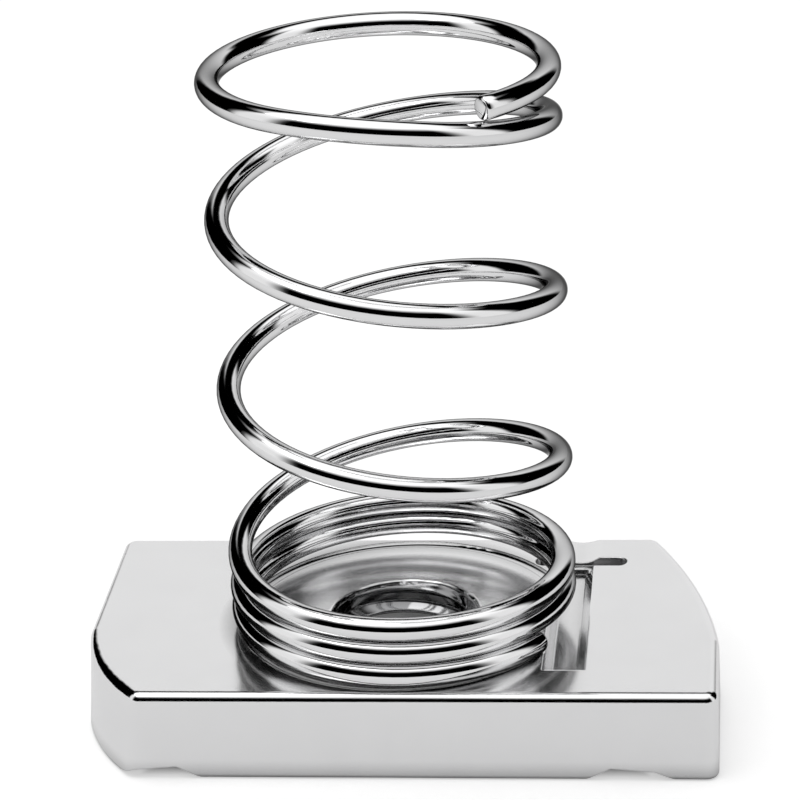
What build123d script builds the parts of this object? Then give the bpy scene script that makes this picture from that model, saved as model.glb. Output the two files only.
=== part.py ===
"""Strut spring nut: a pressed steel nut plate with a long wire spring standing on it.

The plate drops through the slot of a strut channel and is twisted a quarter turn, so that the two
notches under its ends catch the lips of the channel.  The spring pushes against the back of the
channel and holds the plate there until the bolt is in.

Frame: millimetres, Z up, origin in the middle of the plate's underside, on the axis of the thread.
X runs along the plate, across the channel; Y runs along the channel.
"""

from build123d import *
from math import atan2, cos, radians, sin, tan
import os

# --- nut plate -------------------------------------------------------------------------------
plate_length = 34.6          # across the channel
plate_width = 19.6           # passes through the slot of the channel
plate_thickness = 5.0
corner_along = 3.7           # how far both turning corners reach along their long edge
front_corner_back = 8.1      # front left turning corner, back along the end of the plate
back_corner_back = 13.2      # back right turning corner
corner_start_angle = 5.0     # degrees, where the corner leaves the end of the plate
turning_corner_draft = 5.0   # degrees, wider at the underside
corner_edge_radius = 0.7     # upright edges
top_edge_radius = 0.5
bottom_edge_radius = 0.25

# --- thread, M8 coarse -----------------------------------------------------------------------
thread_diameter = 8.0        # the bore is modelled at full diameter, without the thread's ridges
countersink_diameter = 8.4   # 45 degrees, at both faces

# --- notches that seat on the lips of the channel -----------------------------------------------
channel_slot = 22.0          # clear opening between the lips
lip_play = 0.8               # the notch starts this far inside the edge of each lip
notch_depth = 0.7
notch_steep_run = 1.4        # inner flank, which takes the lip's edge
notch_roof_run = 2.3         # gently falling roof, from the deepest line outwards
notch_roof_drop = 0.2
notch_outer_run = 1.2        # outer flank

# --- wire spring --------------------------------------------------------------------------------
wire_diameter = 1.3
spring_inset = 0.3           # outside of the coil, inside the plate's long edges
turn_clearance = 0.02        # between closed turns, and under the wire's upper end
base_turns = 2.2             # closed turns on the plate
base_blend_turns = 0.26      # from closed to open pitch
active_turns = 2.64          # open turns
active_pitch = 9.65
top_blend_turns = 0.15       # from open pitch to the flattened top turn
top_pitch = 0.15
base_end_angle = -30.0       # where the wire ends on the plate, seen from above
points_per_turn = 16

# --- seat of the spring, pressed into the top face -----------------------------------------------
seat_depth = 0.12            # ring groove under the last turn
seat_clearance = 0.02        # between wire and groove
trough_width = 2.3           # trough that runs under the right side of the coil
trough_outset = 0.2          # its middle, outside the wire's
trough_front = 6.8           # its front end, in front of the middle of the plate
trough_length = 13.3         # from there to the middle of the cross slot
trough_depth = 0.8
trough_wall_run = 0.5        # sideways run of its sloping walls
slot_width = 1.05            # cross slot at the back end of the trough
slot_length = 5.2
slot_offset = 0.4            # its middle, outside the trough's
slot_depth = 0.5
scoop_width = 2.2            # shallow hollow from the cross slot to the back edge
scoop_offset = 0.35          # its middle, outside the trough's
scoop_depth = 0.35

# --- what follows from these ---------------------------------------------------------------------
half_length = plate_length / 2
half_width = plate_width / 2
wire_radius = wire_diameter / 2
spring_radius = half_width - spring_inset - wire_radius
closed_pitch = wire_diameter + turn_clearance
# turns of the flattened top, so that the wire's upper end comes down on the turn below it
open_rise = (1 - top_blend_turns) * active_pitch + top_blend_turns * (active_pitch + top_pitch) / 2
top_turns = (open_rise - closed_pitch) / (active_pitch - top_pitch)
seat_groove_radius = wire_radius + seat_clearance
spring_seat_height = plate_thickness - seat_depth + seat_groove_radius
trough_middle_x = spring_radius + trough_outset
slot_middle_y = trough_length - trough_front
scoop_radius = (scoop_width**2 / 4 + scoop_depth**2) / (2 * scoop_depth)
notch_inner_x = channel_slot / 2 - lip_play
notch_peak_x = notch_inner_x + notch_steep_run
notch_roof_x = notch_peak_x + notch_roof_run
notch_outer_x = notch_roof_x + notch_outer_run


def turning_corner(side, back, fullness):
    """Start, middle and end of a turning corner's arc, this much fuller than at the top face."""
    start = Vector(side * half_length, side * (half_width - back))
    end = Vector(side * (half_length - corner_along), side * half_width)
    chord = end - start
    half_turn = atan2(corner_along, back) - radians(corner_start_angle)
    radius = chord.length / 2 / sin(half_turn)
    inward = Vector(-side * back, -side * corner_along) / chord.length
    centre = (start + end) / 2 + inward * radius * cos(half_turn)
    radius += fullness
    start = Vector(start.X, centre.Y + side * (radius**2 - (start.X - centre.X) ** 2) ** 0.5)
    end = Vector(centre.X + side * (radius**2 - (end.Y - centre.Y) ** 2) ** 0.5, end.Y)
    outward = (start + end) / 2 - centre
    return start, centre + outward / outward.length * radius, end


# --- the nut plate -----------------------------------------------------------------------------------
with BuildPart() as nut_plate:
    corner_draft = plate_thickness * tan(radians(turning_corner_draft))
    for height, fullness in ((0, corner_draft), (plate_thickness, 0)):
        front_arc = turning_corner(-1, front_corner_back, fullness)
        back_arc = turning_corner(1, back_corner_back, fullness)
        with BuildSketch(Plane.XY.offset(height)):
            with BuildLine():
                Line((-half_length, half_width), front_arc[0])
                ThreePointArc(*front_arc)
                Polyline(front_arc[2], (half_length, -half_width), back_arc[0])
                ThreePointArc(*back_arc)
                Line(back_arc[2], (-half_length, half_width))
            make_face()
    loft(ruled=True)
    upright_edges = nut_plate.edges().filter_by(
        lambda e: abs((e @ 1 - e @ 0).Z) > plate_thickness / 2 and abs(e.center().Y) > half_width - 0.01
    )
    fillet(upright_edges, corner_edge_radius)
    fillet(nut_plate.faces().sort_by(Axis.Z)[-1].edges(), top_edge_radius)
    fillet(nut_plate.faces().sort_by(Axis.Z)[0].edges(), bottom_edge_radius)

    # notches for the lips of the channel, across the underside
    for side in (-1, 1):
        with BuildSketch(Plane.XZ):
            with BuildLine():
                Polyline(
                    (side * notch_inner_x, 0),
                    (side * notch_peak_x, notch_depth),
                    (side * notch_roof_x, notch_depth - notch_roof_drop),
                    (side * notch_outer_x, 0),
                    (side * notch_outer_x, -notch_depth),
                    (side * notch_inner_x, -notch_depth),
                    close=True,
                )
            make_face()
        extrude(amount=plate_width, both=True, mode=Mode.SUBTRACT)

    # bore of the thread, countersunk at both faces
    Hole(thread_diameter / 2)
    bore_rims = nut_plate.edges().filter_by(GeomType.CIRCLE).filter_by(
        lambda e: abs(e.radius - thread_diameter / 2) < 0.01
    )
    chamfer(bore_rims, (countersink_diameter - thread_diameter) / 2)

    # trough beside the coil
    with BuildSketch(Plane.XZ.offset(-slot_middle_y)):
        with BuildLine():
            Polyline(
                (trough_middle_x - trough_width / 2, plate_thickness),
                (trough_middle_x - trough_width / 2 + trough_wall_run, plate_thickness - trough_depth),
                (trough_middle_x + trough_width / 2 - trough_wall_run, plate_thickness - trough_depth),
                (trough_middle_x + trough_width / 2, plate_thickness),
                (trough_middle_x + trough_width / 2, plate_thickness + trough_depth),
                (trough_middle_x - trough_width / 2, plate_thickness + trough_depth),
                close=True,
            )
        make_face()
    extrude(amount=trough_length, mode=Mode.SUBTRACT)

    # cross slot at its back end
    with BuildSketch(Plane.XY.offset(plate_thickness)):
        with Locations((trough_middle_x + slot_offset, slot_middle_y)):
            SlotOverall(slot_length, slot_width)
    extrude(amount=-slot_depth, mode=Mode.SUBTRACT)

    # shallow scoop from the cross slot out over the back edge
    with BuildSketch(Plane.XZ.offset(-slot_middle_y)):
        with Locations((trough_middle_x + scoop_offset, plate_thickness - scoop_depth + scoop_radius)):
            Circle(scoop_radius)
    extrude(amount=-plate_width, mode=Mode.SUBTRACT)

    # ring groove that the last turn of the spring beds in
    with Locations((0, 0, spring_seat_height)):
        Torus(spring_radius, seat_groove_radius, mode=Mode.SUBTRACT)

nut_plate.part.label = "nut_plate"


# --- the spring --------------------------------------------------------------------------------------
def wire_pitch(turns):
    """Rise per turn at this many turns up from the end on the plate."""
    rise_end = base_turns + base_blend_turns
    fall_start = rise_end + active_turns
    fall_end = fall_start + top_blend_turns
    if turns <= base_turns:
        return closed_pitch
    if turns < rise_end:
        return closed_pitch + (active_pitch - closed_pitch) * (turns - base_turns) / base_blend_turns
    if turns <= fall_start:
        return active_pitch
    if turns < fall_end:
        return top_pitch + (active_pitch - top_pitch) * (fall_end - turns) / top_blend_turns
    return top_pitch


def wire_points():
    """Centre line of the left-hand coil, from the plate up."""
    total_turns = base_turns + base_blend_turns + active_turns + top_blend_turns + top_turns
    steps = round(total_turns * points_per_turn)
    step = total_turns / steps
    height = spring_seat_height
    points = []
    for i in range(steps + 1):
        angle = radians(base_end_angle - 360 * i * step)
        points.append((spring_radius * cos(angle), spring_radius * sin(angle), height))
        height += wire_pitch((i + 0.5) * step) * step
    return points


with BuildPart() as spring:
    with BuildLine() as wire_path:
        Spline(*wire_points())
    with BuildSketch(Plane(origin=wire_path.line @ 0, z_dir=wire_path.line % 0)):
        Circle(wire_radius)
    sweep(path=wire_path.line)

spring.part.label = "spring"

os.makedirs("parts", exist_ok=True)
for piece in (nut_plate, spring):
    export_step(piece.part, f"parts/{piece.part.label}.step")
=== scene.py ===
"""Looks of the strut spring nut: bright plated nut plate with a polished left-hand coil spring.

Everything is in metres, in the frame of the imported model: Z up, X along the plate, origin in the
middle of the plate's underside.
"""

from math import cos, radians, sin, tau
from typing import NamedTuple

import bmesh
import bpy
from mathutils import Matrix, Vector


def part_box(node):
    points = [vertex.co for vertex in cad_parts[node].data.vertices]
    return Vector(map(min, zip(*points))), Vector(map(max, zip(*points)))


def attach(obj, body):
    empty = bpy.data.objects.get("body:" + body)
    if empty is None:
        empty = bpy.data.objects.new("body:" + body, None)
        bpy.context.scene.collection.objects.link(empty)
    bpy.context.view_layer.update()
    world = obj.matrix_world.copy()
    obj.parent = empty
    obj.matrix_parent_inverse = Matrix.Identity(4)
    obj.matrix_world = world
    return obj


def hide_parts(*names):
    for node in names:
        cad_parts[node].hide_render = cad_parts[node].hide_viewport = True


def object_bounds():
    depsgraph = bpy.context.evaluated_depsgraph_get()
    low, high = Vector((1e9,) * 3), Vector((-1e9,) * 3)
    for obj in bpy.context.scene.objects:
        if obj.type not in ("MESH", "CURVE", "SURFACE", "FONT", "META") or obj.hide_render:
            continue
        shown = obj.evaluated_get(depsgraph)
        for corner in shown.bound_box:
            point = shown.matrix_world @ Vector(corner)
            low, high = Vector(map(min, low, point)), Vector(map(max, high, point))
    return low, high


MM = 0.001

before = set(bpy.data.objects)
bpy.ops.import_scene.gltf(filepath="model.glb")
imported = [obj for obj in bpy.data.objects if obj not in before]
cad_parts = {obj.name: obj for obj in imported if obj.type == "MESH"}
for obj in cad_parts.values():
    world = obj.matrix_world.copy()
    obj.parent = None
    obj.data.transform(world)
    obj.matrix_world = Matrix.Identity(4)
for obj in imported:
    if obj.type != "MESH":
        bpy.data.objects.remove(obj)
cad_low, cad_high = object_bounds()
plate_low, plate_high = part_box("nut_plate")
coil_low, coil_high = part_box("spring")
plate_top = plate_high.z
span = cad_high.z - cad_low.z

# --- the coil, as the part is built ---------------------------------------------------------------
wire_radius = 0.65 * MM
turn_clearance = 0.02 * MM
seat_drop = 0.55 * MM            # centre of the wire above the plate's top at its lowest
coil_radius = (coil_high.x - coil_low.x) / 2 - wire_radius
base_turns = 2.2
base_blend_turns = 0.26
active_turns = 2.64
active_pitch = 9.65 * MM
top_blend_turns = 0.15
top_pitch = 0.15 * MM
closed_pitch = 2 * wire_radius + turn_clearance
open_rise = (1 - top_blend_turns) * active_pitch + top_blend_turns * (active_pitch + top_pitch) / 2
top_turns = (open_rise - closed_pitch) / (active_pitch - top_pitch)
base_end_angle = radians(-30)
rings_per_turn = 80
sides = 36
cut_end = ((0.0, 0.80), (0.05 * MM, 0.93), (0.15 * MM, 1.0))    # distance from the cut, share of the radius

# --- the thread, M8 coarse ------------------------------------------------------------------------
thread_pitch = 1.25 * MM
thread_root = 4.0 * MM
thread_crest = 3.36 * MM
rim_radius = 4.2 * MM            # of the countersinks
flank_slope = 0.577              # half rise over depth of a 60 degree thread
wall_overlap = 0.02 * MM         # the ridge's root lies this deep in the wall
chamfer_depth = 0.04 * MM        # the crest's corners are cut back this deep,
chamfer_outward = 0.02 * MM      # from this far outside the corner
chamfer_inward = 0.03 * MM       # to this far inside it
thread_segments = 72

# --- surfaces -------------------------------------------------------------------------------------
worn_edge_radius = 0.16 * MM     # rounding that the plate's edges show in their gloss
worn_edge_samples = 8
painted_shade_reach = 1.2 * MM          # recesses closer than this get painted shade: ambient occlusion darkens the base colour
painted_shade_samples = 8
grain_depth = 0.004 * MM


def grid_mesh(name, rows, columns, point, uv_scale=None):
    """A capped tube of quads over rows x columns points; each row closes on itself."""
    bm = bmesh.new()
    verts = [[bm.verts.new(point(i, j)) for j in range(columns)] for i in range(rows)]
    faces = []
    for i in range(rows - 1):
        for j in range(columns):
            k = (j + 1) % columns
            faces.append((bm.faces.new((verts[i][j], verts[i][k], verts[i + 1][k], verts[i + 1][j])), i, j))
    if uv_scale is not None:
        layer = bm.loops.layers.uv.new("along")
        for face, i, j in faces:
            corners = ((i, j), (i, j + 1), (i + 1, j + 1), (i + 1, j))
            for loop, (a, b) in zip(face.loops, corners):
                loop[layer].uv = (a * uv_scale[0], b * uv_scale[1])
    bm.faces.new(reversed(verts[0]))
    bm.faces.new(verts[-1])
    bmesh.ops.recalc_face_normals(bm, faces=bm.faces)
    mesh = bpy.data.meshes.new(name)
    bm.to_mesh(mesh)
    bm.free()
    piece = bpy.data.objects.new(name, mesh)
    bpy.context.scene.collection.objects.link(piece)
    return piece


def smooth(piece, angle):
    """Smooth shading, with edges sharper than the angle left sharp."""
    bpy.context.view_layer.objects.active = piece
    for other in bpy.context.selected_objects:
        other.select_set(False)
    piece.select_set(True)
    bpy.ops.object.shade_smooth_by_angle(angle=radians(angle))


# --- the spring -----------------------------------------------------------------------------------
def wire_pitch(turns):
    """Rise per turn at this many turns up from the end on the plate."""
    rise_end = base_turns + base_blend_turns
    fall_start = rise_end + active_turns
    fall_end = fall_start + top_blend_turns
    if turns <= base_turns:
        return closed_pitch
    if turns < rise_end:
        return closed_pitch + (active_pitch - closed_pitch) * (turns - base_turns) / base_blend_turns
    if turns <= fall_start:
        return active_pitch
    if turns < fall_end:
        return top_pitch + (active_pitch - top_pitch) * (fall_end - turns) / top_blend_turns
    return top_pitch


def build_spring():
    """The coil as a fine tube, with a small sheared bevel at both cut ends."""
    total = base_turns + base_blend_turns + active_turns + top_blend_turns + top_turns
    steps = round(total * rings_per_turn)
    step = total / steps
    heights = [plate_top + seat_drop]
    for i in range(steps):
        heights.append(heights[-1] + wire_pitch((i + 0.5) * step) * step)
    arc = tau * coil_radius * step
    stations = [(back / arc, share) for back, share in cut_end]
    stations += [(float(i), 1.0) for i in range(1, steps)]
    stations += [(steps - back / arc, share) for back, share in reversed(cut_end)]

    def frame_at(s):
        angle = base_end_angle - tau * s * step
        i = min(int(s), steps - 1)
        height = heights[i] + (heights[i + 1] - heights[i]) * (s - i)
        rise = (heights[i + 1] - heights[i]) / (tau * step)
        out = Vector((cos(angle), sin(angle), 0))
        along = Vector((sin(angle), -cos(angle), rise / coil_radius)).normalized()
        return out * coil_radius + Vector((0, 0, height)), out, along.cross(out)

    def point(i, j):
        s, share = stations[i]
        centre, out, up = frame_at(s)
        turn = tau * j / sides
        return centre + (out * cos(turn) + up * sin(turn)) * (wire_radius * share)

    piece = grid_mesh("coil", len(stations), sides, point, uv_scale=(arc / wire_radius, 1 / sides))
    smooth(piece, 40)
    return piece


# --- the thread -----------------------------------------------------------------------------------
def build_thread():
    """The ridge of the internal thread, a helix from face to face that the countersinks cut away."""
    first, last = plate_low.z, plate_high.z
    turns = (last - first) / thread_pitch + 1
    rows = round(turns * thread_segments) + 1
    half_flat = thread_pitch / 16
    root_reach = (thread_root - thread_crest) * flank_slope + half_flat
    root = thread_root + wall_overlap
    profile = (
        (root, -root_reach),
        (thread_crest + chamfer_depth, -half_flat - chamfer_outward),
        (thread_crest, -half_flat + chamfer_inward),
        (thread_crest, half_flat - chamfer_inward),
        (thread_crest + chamfer_depth, half_flat + chamfer_outward),
        (root, root_reach),
    )

    def point(i, j):
        angle = tau * i / thread_segments
        radius, rise = profile[j]
        height = first - thread_pitch / 2 + thread_pitch * i / thread_segments + rise
        height = min(max(height, first), last)
        cone = rim_radius - min(height - first, last - height)
        radius = max(radius, min(cone, root))
        return Vector((radius * cos(angle), radius * sin(angle), height))

    piece = grid_mesh("thread", rows, len(profile), point)
    smooth(piece, 35)
    return piece


# --- materials ------------------------------------------------------------------------------------
def new_material(name):
    material = bpy.data.materials.new(name)
    material.use_nodes = True
    nodes = material.node_tree.nodes
    nodes.clear()
    output = nodes.new("ShaderNodeOutputMaterial")
    shader = nodes.new("ShaderNodeBsdfPrincipled")
    material.node_tree.links.new(shader.outputs["BSDF"], output.inputs["Surface"])
    shader.inputs["Metallic"].default_value = 1.0
    return material, nodes, material.node_tree.links, shader


def noise(nodes, links, vector, scale, detail):
    node = nodes.new("ShaderNodeTexNoise")
    node.inputs["Scale"].default_value = scale
    node.inputs["Detail"].default_value = detail
    node.inputs["Roughness"].default_value = 0.55
    links.new(vector, node.inputs["Vector"])
    return node.outputs["Fac"]


def stretch(nodes, links, vector, scale):
    node = nodes.new("ShaderNodeMapping")
    node.inputs["Scale"].default_value = scale
    links.new(vector, node.inputs["Vector"])
    return node.outputs["Vector"]


def span_of(nodes, links, value, low, high, start=0.3, end=0.7):
    """Low to high, as the value goes from start to end; a noise keeps mostly between 0.3 and 0.7."""
    node = nodes.new("ShaderNodeMapRange")
    node.inputs["From Min"].default_value = start
    node.inputs["From Max"].default_value = end
    node.inputs["To Min"].default_value = low
    node.inputs["To Max"].default_value = high
    links.new(value, node.inputs["Value"])
    return node.outputs["Result"]


def calc(nodes, links, operation, *values):
    """A Math node; each value is a socket or a number."""
    node = nodes.new("ShaderNodeMath")
    node.operation = operation
    for socket, value in zip(node.inputs, values):
        if isinstance(value, bpy.types.NodeSocket):
            links.new(value, socket)
        else:
            socket.default_value = value
    return node.outputs["Value"]


def grey(level):
    """A steel grey, slightly cool."""
    return level, level, level + 0.005, 1


def blend_grey(nodes, links, factor, first, second):
    node = nodes.new("ShaderNodeMix")
    node.data_type = "RGBA"
    links.new(factor, node.inputs["Factor"])
    node.inputs["A"].default_value = grey(first)
    node.inputs["B"].default_value = grey(second)
    return node.outputs["Result"]


def bump(nodes, links, height, shader, strength, normal=None):
    node = nodes.new("ShaderNodeBump")
    node.inputs["Distance"].default_value = grain_depth
    node.inputs["Strength"].default_value = strength
    links.new(height, node.inputs["Height"])
    if normal is not None:
        links.new(normal, node.inputs["Normal"])
    links.new(node.outputs["Normal"], shader.inputs["Normal"])


def plated_steel(name, dark, light):
    """Bright plate: satin on the flat faces, glossy where edges are rolled over, with painted shade that
    darkens the colour in recesses.
    """
    material, nodes, links, shader = new_material(name)
    coords = nodes.new("ShaderNodeTexCoord").outputs["Object"]
    cloud = noise(nodes, links, coords, scale=220, detail=3)
    colour = blend_grey(nodes, links, cloud, dark, light)
    # painted shade: ambient occlusion darkens the base colour in recesses, where the coil meets the plate
    # and along the bottom edge
    painted_recess_shade = nodes.new("ShaderNodeAmbientOcclusion")
    painted_recess_shade.samples = painted_shade_samples
    painted_recess_shade.inputs["Distance"].default_value = painted_shade_reach
    links.new(colour, painted_recess_shade.inputs["Color"])
    links.new(painted_recess_shade.outputs["Color"], shader.inputs["Base Color"])
    rounded = nodes.new("ShaderNodeBevel")
    rounded.samples = worn_edge_samples
    rounded.inputs["Radius"].default_value = worn_edge_radius
    axes = nodes.new("ShaderNodeSeparateXYZ")
    links.new(rounded.outputs["Normal"], axes.inputs["Vector"])
    flat = 0.0
    for axis in ("X", "Y", "Z"):
        flat = calc(nodes, links, "MAXIMUM", flat, calc(nodes, links, "ABSOLUTE", axes.outputs[axis]))
    satin = span_of(nodes, links, flat, 0.06, 0.16, start=0.975, end=0.998)
    grain = noise(nodes, links, stretch(nodes, links, coords, (1, 14, 14)), scale=900, detail=4)
    roughness = calc(nodes, links, "ADD", satin, span_of(nodes, links, grain, -0.02, 0.03))
    links.new(roughness, shader.inputs["Roughness"])
    bump(nodes, links, grain, shader, 0.25, rounded.outputs["Normal"])
    return material


def spring_wire():
    """Polished drawn wire: faint streaks along the wire."""
    material, nodes, links, shader = new_material("spring_wire")
    uv = nodes.new("ShaderNodeUVMap")
    uv.uv_map = "along"
    streaks = noise(nodes, links, stretch(nodes, links, uv.outputs["UV"], (0.05, 30, 1)), scale=3, detail=3)
    links.new(blend_grey(nodes, links, streaks, 0.86, 0.92), shader.inputs["Base Color"])
    shader.inputs["Specular Tint"].default_value = (0.1, 0.1, 0.1, 1)
    links.new(span_of(nodes, links, streaks, 0.025, 0.055), shader.inputs["Roughness"])
    bump(nodes, links, streaks, shader, 0.15)
    return material


steel = plated_steel("plated_steel", 0.84, 0.9)
painted_shade_thread_steel = plated_steel("painted_shade_thread_steel", 0.28, 0.36)    # a darker colour that paints the shade inside the bore
wire = spring_wire()

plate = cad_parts["nut_plate"]
plate.data.materials.clear()
plate.data.materials.append(steel)
smooth(plate, 30)

coil = build_spring()
coil.data.materials.append(wire)
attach(coil, "root")
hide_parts("spring")
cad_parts["spring"].data.materials.clear()
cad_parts["spring"].data.materials.append(wire)

thread = build_thread()
# the thread takes the darkened steel that paints the shade inside the bore
thread.data.materials.append(painted_shade_thread_steel)
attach(thread, "root")


# --- studio ---------------------------------------------------------------------------------------
class Flag(NamedTuple):
    """A dark cloth in front of the light tent, in degrees; azimuth 0 is the front."""
    azimuth: float
    half_width: float
    soft_side: float
    high: float
    soft_high: float
    low: float = 0
    soft_low: float = 1


flags = (
    Flag(azimuth=0, half_width=70, soft_side=18, high=36, soft_high=24),
    Flag(azimuth=122, half_width=34, soft_side=10, high=46, soft_high=14),
    Flag(azimuth=-122, half_width=34, soft_side=10, high=46, soft_high=14),
    Flag(azimuth=180, half_width=60, soft_side=20, high=54, soft_high=6, low=37, soft_low=5),
)
middle = Vector((0, 0, span / 2))
tent_radius = 12 * span
tent_low = 0.85                  # brightness of the tent low down
tent_high = 1.15                 # and overhead
floor_reach = 60 * span
floor_lift = 0.5                 # glow that takes the lit floor to white, as the camera sees it
floor_lift_in_gloss = 0.18       # the same, in reflections
corner_cut = 3.2 * MM            # the painted shadow keeps inside the turning corners
world_fill = 0.6                 # how strongly the white surroundings light the object


def emission_material(name):
    material = bpy.data.materials.new(name)
    material.use_nodes = True
    nodes = material.node_tree.nodes
    nodes.clear()
    output = nodes.new("ShaderNodeOutputMaterial")
    glow = nodes.new("ShaderNodeEmission")
    material.node_tree.links.new(glow.outputs["Emission"], output.inputs["Surface"])
    return material


def floor_material():
    """White paper: keeps its own shadow and shows white where it is lit; the glow is left out under the
    plate, which paints a shadow there.
    """
    material = bpy.data.materials.new("floor_paper")
    material.use_nodes = True
    nodes, links = material.node_tree.nodes, material.node_tree.links
    nodes.clear()
    output = nodes.new("ShaderNodeOutputMaterial")
    paper = nodes.new("ShaderNodeBsdfDiffuse")
    paper.inputs["Color"].default_value = (0.9, 0.9, 0.9, 1)
    glow = nodes.new("ShaderNodeEmission")
    path = nodes.new("ShaderNodeLightPath")
    axes = nodes.new("ShaderNodeSeparateXYZ")
    links.new(nodes.new("ShaderNodeNewGeometry").outputs["Position"], axes.inputs["Vector"])
    outside = -1.0
    for axis, edge in (("X", plate_high.x - corner_cut), ("Y", plate_high.y)):
        distance = calc(nodes, links, "ABSOLUTE", axes.outputs[axis])
        outside = calc(nodes, links, "MAXIMUM", outside, calc(nodes, links, "SUBTRACT", distance, edge))
    # painted shadow: the glow fades out inside the plate's footprint, so the floor stays dark under it
    glow_outside_painted_shadow = span_of(nodes, links, outside, 0.0, 1.0, -1.6 * MM, -0.4 * MM)
    seen = calc(nodes, links, "MULTIPLY", path.outputs["Is Camera Ray"], floor_lift)
    mirrored = calc(nodes, links, "MULTIPLY", path.outputs["Is Glossy Ray"], floor_lift_in_gloss)
    lifted = calc(nodes, links, "MULTIPLY", calc(nodes, links, "ADD", seen, mirrored), glow_outside_painted_shadow)
    links.new(lifted, glow.inputs["Strength"])
    both = nodes.new("ShaderNodeAddShader")
    links.new(paper.outputs["BSDF"], both.inputs[0])
    links.new(glow.outputs["Emission"], both.inputs[1])
    links.new(both.outputs["Shader"], output.inputs["Surface"])
    return material


def build_world():
    """White to the camera and in reflections, softer as a light on the object."""
    world = bpy.data.worlds.new("studio")
    bpy.context.scene.world = world
    world.use_nodes = True
    nodes, links = world.node_tree.nodes, world.node_tree.links
    nodes.clear()
    output = nodes.new("ShaderNodeOutputWorld")
    background = nodes.new("ShaderNodeBackground")
    path = nodes.new("ShaderNodeLightPath")
    seen = path.outputs["Is Camera Ray"]
    for ray in ("Is Glossy Ray", "Is Transmission Ray"):
        seen = calc(nodes, links, "MAXIMUM", seen, path.outputs[ray])
    strength = span_of(nodes, links, seen, world_fill, 1.0, 0.0, 1.0)
    links.new(strength, background.inputs["Strength"])
    links.new(background.outputs["Background"], output.inputs["Surface"])


def smooth_step(value, start, end):
    t = min(max((value - start) / (end - start), 0), 1)
    return t * t * (3 - 2 * t)


def tent_glow(azimuth, elevation):
    """Brightness of the light tent in a direction; azimuth 0 is the front."""
    glow = tent_low + (tent_high - tent_low) * smooth_step(elevation, 25, 60)
    for flag in flags:
        aside = abs((azimuth - flag.azimuth + 180) % 360 - 180)
        within = 1 - smooth_step(aside, flag.half_width - flag.soft_side, flag.half_width)
        above = smooth_step(elevation, flag.low - flag.soft_low, flag.low)
        below = 1 - smooth_step(elevation, flag.high, flag.high + flag.soft_high)
        glow *= 1 - within * above * below
    return glow


def build_tent():
    """A white light tent with dark flags, which only reflections see."""
    bm = bmesh.new()
    glow = bm.verts.layers.float.new("glow")
    rings = []
    for elevation in range(-4, 90, 2):
        ring = []
        for azimuth in range(0, 360, 3):
            turn = radians(azimuth)
            out = cos(radians(elevation))
            direction = Vector((sin(turn) * out, -cos(turn) * out, sin(radians(elevation))))
            vert = bm.verts.new(middle + direction * tent_radius)
            vert[glow] = tent_glow(azimuth, elevation)
            ring.append(vert)
        rings.append(ring)
    for lower, upper in zip(rings, rings[1:]):
        for i in range(len(lower)):
            k = (i + 1) % len(lower)
            bm.faces.new((lower[i], lower[k], upper[k], upper[i]))
    bm.faces.new(rings[-1])
    mesh = bpy.data.meshes.new("tent")
    bm.to_mesh(mesh)
    bm.free()
    material = emission_material("tent_cloth")
    nodes = material.node_tree.nodes
    level = nodes.new("ShaderNodeAttribute")
    level.attribute_name = "glow"
    material.node_tree.links.new(level.outputs["Fac"], nodes["Emission"].inputs["Strength"])
    mesh.materials.append(material)
    tent = bpy.data.objects.new("tent", mesh)
    bpy.context.scene.collection.objects.link(tent)
    tent.visible_camera = False
    tent.visible_diffuse = False
    tent.visible_transmission = False
    tent.visible_volume_scatter = False
    tent.visible_shadow = False


def area_lamp(name, centre, towards, size, power):
    data = bpy.data.lights.new(name, "AREA")
    data.shape = "SQUARE"
    data.size = size
    data.energy = power
    lamp = bpy.data.objects.new(name, data)
    bpy.context.scene.collection.objects.link(lamp)
    lamp.location = centre
    lamp.rotation_mode = "QUATERNION"
    lamp.rotation_quaternion = (Vector(towards) - Vector(centre)).to_track_quat("-Z", "Y")
    return lamp


floor_mesh = bpy.data.meshes.new("floor")
corners = ((-1, -1), (1, -1), (1, 1), (-1, 1))
floor_mesh.from_pydata([(floor_reach * x, floor_reach * y, 0) for x, y in corners], [], [(0, 1, 2, 3)])
floor = bpy.data.objects.new("floor", floor_mesh)
bpy.context.scene.collection.objects.link(floor)
floor.location.z = plate_low.z - 0.02 * MM       # just clear of the plate
floor_mesh.materials.append(floor_material())

build_world()
build_tent()
area_lamp("key", middle + Vector((-3, -1, 9)) * span, middle, size=6 * span, power=0.25)

# --- camera ---------------------------------------------------------------------------------------
camera_turn = radians(6.5)           # to the right of the plate's front
camera_drop = radians(22.65)
camera_roll = radians(2.89)
camera_distance = 178.6 * MM
aim = Vector((0.31 * MM, 0, plate_top + 12.76 * MM))
view_along = Vector((
    -sin(camera_turn) * cos(camera_drop),
    cos(camera_turn) * cos(camera_drop),
    -sin(camera_drop),
))
view_right = Vector((cos(camera_turn), sin(camera_turn), 0))
view_up = view_right.cross(view_along)
axis_x = view_right * cos(camera_roll) - view_up * sin(camera_roll)
axis_y = view_right * sin(camera_roll) + view_up * cos(camera_roll)
camera_data = bpy.data.cameras.new("camera")
camera_data.sensor_width = 36
camera_data.lens = 149.4
camera_data.clip_start = 0.01
camera_data.clip_end = 50
camera = bpy.data.objects.new("camera", camera_data)
bpy.context.scene.collection.objects.link(camera)
camera.matrix_world = Matrix.Translation(aim - view_along * camera_distance) @ Matrix(
    (axis_x, axis_y, -view_along)
).transposed().to_4x4()
bpy.context.scene.camera = camera
bpy.context.scene.view_settings.view_transform = "Standard"
